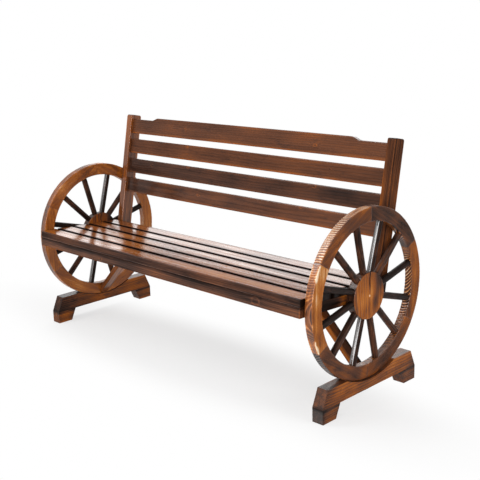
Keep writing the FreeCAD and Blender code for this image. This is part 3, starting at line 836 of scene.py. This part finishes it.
# each with its directions, the steps of its net, the axes of its fibres and its face, and its look
framePieces = []
for side, hand in zip(sides, (1, -1)):
    braceLean = Matrix.Rotation(math.radians(timber["braceLean"] * hand), 3, "Y")
    framePieces += [
        (side + "_back_post", postLean, (0.003, 0.003, 0.007), 2, 1, postLook),
        (side + "_side_rail", seatLean, (0.005, 0.007, 0.004), 1, 0, frameLook),
        (side + "_seat_bearer", seatLean, (0.005, 0.008, 0.005), 1, 2, frameLook),
        (side + "_knee_brace", braceLean, (0.007, 0.004, 0.004), 0, 1, frameLook),
        (side + "_foot_beam", level, (0.004, 0.006, 0.004), 1, 0, footLook),
        (side + "_front_foot_block", level, (0.004, 0.005, 0.004), 1, 0, footLook),
        (side + "_rear_foot_block", level, (0.004, 0.005, 0.004), 1, 0, footLook),
    ]
framePieces.append(("rear_seat_rail", seatLean, (0.008, 0.006, 0.006), 0, 1, frameLook))


def frameCoat(node):
    top = lacquer(frameGloss.get(node, timber["sideGloss"]), timber["topGloss"], alongZ)
    front = lacquer(0.0, frontGloss.get(node, 0.0), alongY)
    return lambda normals: np.maximum(top(normals), front(normals))


for place, (node, turn, steps, fibreAxis, faceAxis, (wood, finish, slotName)) in enumerate(framePieces):
    piece = netFromNode(node, turn, steps)
    gaps = [pair for part, pair in frameGaps.items() if node.endswith(part)] or [(0, 0)]
    growGrain(piece, turn.col[fibreAxis], turn.col[faceAxis], wood, timber["seed"] + place,
              frameCoat(node), tone=frameTone.get(node, 0.0), marks=frameMarksAndShade.get(node, ()), gaps=gaps[0])
    settle(piece, node, finish)
print("posts, rails, braces and feet")

# screws and dowels stay as they are, with their own finish
smallParts = {
    "_screws": {"finish": "screw_steel_finish", "scale": 900.0, "detail": 3.0, "metal": 1.0,
                "rough": (0.25, 0.3), "stops": ((0.3, (0.20, 0.19, 0.17)), (0.7, (0.36, 0.35, 0.33)))},
    "_dowels": {"finish": "dowel_wood_finish", "scale": 260.0, "detail": 4.0, "metal": 0.0,
                "rough": (0.5, 0.2), "stops": ((0.3, (0.36, 0.2, 0.08)), (0.7, (0.52, 0.33, 0.15)))},
}


def cloudedFinish(look):
    finish, sheet = startFinish(look["finish"])
    place = sheet.node("ShaderNodeTexCoord", out="Object")
    values = {"Vector": place, "Scale": look["scale"], "Detail": look["detail"]}
    cloud = sheet.node("ShaderNodeTexNoise", {}, values)
    colour = sheet.ramp(look["stops"], cloud)
    rough = look["rough"][0] + cloud * look["rough"][1]
    values = {"Base Color": colour, "Metallic": look["metal"], "Roughness": rough}
    shader = sheet.node("ShaderNodeBsdfPrincipled", {}, values)
    sheet.node("ShaderNodeOutputMaterial", {}, {"Surface": shader})
    return finish


for ending, look in smallParts.items():
    finish = cloudedFinish(look)
    for name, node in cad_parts.items():
        if name.endswith(ending):
            node.data.materials.clear()
            node.data.materials.append(finish)
print("screws and dowels")

# floor, light and camera
studio = {"ambient": 0.22, "floorSize": 40, "floorDrop": 0.0005, "floorColour": 0.95, "floorGlow": 0.62,
          "fadeFrom": 0.3, "fadeTo": 0.8, "patch": (0.5, 2.2, 0.0), "patchStart": (0.0, 0.25, 0.0)}


def seenRay(sheet):
    ways = [sheet.node("ShaderNodeLightPath", out=name)
            for name in ("Is Camera Ray", "Is Glossy Ray", "Is Transmission Ray")]
    first = sheet.sum("MAXIMUM", ways[0], ways[1])
    return sheet.sum("MAXIMUM", first, ways[2])


bpy.ops.object.select_all(action="DESELECT")
bpy.ops.mesh.primitive_plane_add(size=studio["floorSize"], location=(0, 0, -studio["floorDrop"]))
floor = bpy.context.object
floor.name = "floor"
floorFinish, floorSheet = startFinish("floor_finish")
tint = studio["floorColour"]
paper = floorSheet.node("ShaderNodeBsdfDiffuse", {}, {"Color": (tint, tint, tint, 1)})
glow = floorSheet.node("ShaderNodeEmission", {}, {"Color": (1, 1, 1, 1), "Strength": 1.0})
# The floor shows its lit shading, and so the bench's shadow, only inside an ellipse under the front of the
# seat, and glows pure white around it: the ellipse is a placed, painted shadow area.
spot = floorSheet.node("ShaderNodeTexCoord", out="Object")
patch = floorSheet.node("ShaderNodeVectorMath", {"operation": "MULTIPLY_ADD"},
                        {0: spot, 1: studio["patch"], 2: studio["patchStart"]})
away = floorSheet.node("ShaderNodeVectorMath", {"operation": "LENGTH"}, {0: patch}, out="Value")
values = {"Value": away, "From Min": studio["fadeFrom"], "From Max": studio["fadeTo"],
          "To Min": studio["floorGlow"]}
fade = floorSheet.node("ShaderNodeMapRange", {"interpolation_type": "SMOOTHSTEP"}, values)
share = seenRay(floorSheet) * fade
mixed = floorSheet.node("ShaderNodeMixShader", {}, {0: share, 1: paper, 2: glow})
floorSheet.node("ShaderNodeOutputMaterial", {}, {"Surface": mixed})
floor.data.materials.append(floorFinish)

world = bpy.data.worlds.new("studio")
bpy.context.scene.world = world
world.use_nodes = True
world.node_tree.nodes.clear()
sky = Wire(world.node_tree)
strength = seenRay(sky) * (1 - studio["ambient"]) + studio["ambient"]
dome = sky.node("ShaderNodeBackground", {}, {"Color": (1, 1, 1, 1), "Strength": strength})
sky.node("ShaderNodeOutputWorld", {}, {"Surface": dome})

# each with its place, what it is aimed at, its width, its height and its power
lamps = (
    ("top_softbox", (-0.2, -0.4, 2.7), (0, 0, 0.4), 2.2, 2.2, 11),
    ("rim_softbox", (-1.15, -0.65, 2.7), (0.74, -0.2, 0.45), 1.9, 0.45, 11),
    ("front_softbox", (1.4, -3.0, 1.42), (1.4, 0, 1.0), 3.0, 0.5, 42),
    ("low_softbox", (1.4, -3.0, 0.66), (1.4, 0, 0.5), 3.0, 0.4, 34),
    ("left_softbox", (-1.1, -1.5, 2.1), (0.6, -0.1, 0.5), 1.0, 1.0, 18),
    ("side_softbox", (3.2, 0.6, 1.6), (0.5, 0, 0.4), 1.4, 1.4, 28),
    ("rear_softbox", (-1.6, 2.6, 2.1), (0, 0, 0.4), 3.0, 1.0, 20),
    ("seat_softbox", (-2.5, 2.24, 1.12), (-0.3, -0.26, 0.4), 3.4, 0.6, 6.8),
)
for name, place, aim, wide, tall, power in lamps:
    bpy.ops.object.light_add(type="AREA", location=place)
    lamp = bpy.context.object
    lamp.name = name
    lamp.data.shape = "RECTANGLE"
    lamp.data.size = wide
    lamp.data.size_y = tall
    lamp.data.energy = power
    lamp.rotation_euler = (Vector(aim) - Vector(place)).to_track_quat("-Z", "Y").to_euler()

view = {"place": (2.3528, -2.1691, 1.2346), "yaw": 45.33, "pitch": -14.18, "roll": -1.64, "lens": 65.7,
        "sensor": 36}
bpy.ops.object.camera_add(location=view["place"])
camera = bpy.context.object
heading = Matrix.Rotation(math.radians(view["yaw"]), 3, "Z")
nod = Matrix.Rotation(math.radians(90 + view["pitch"]), 3, "X")
tip = Matrix.Rotation(math.radians(view["roll"]), 3, "Z")
camera.rotation_euler = (heading @ nod @ tip).to_euler()
camera.data.lens = view["lens"]
camera.data.sensor_width = view["sensor"]
bpy.context.scene.camera = camera
bpy.context.scene.view_settings.view_transform = "Standard"
print("floor, light and camera")
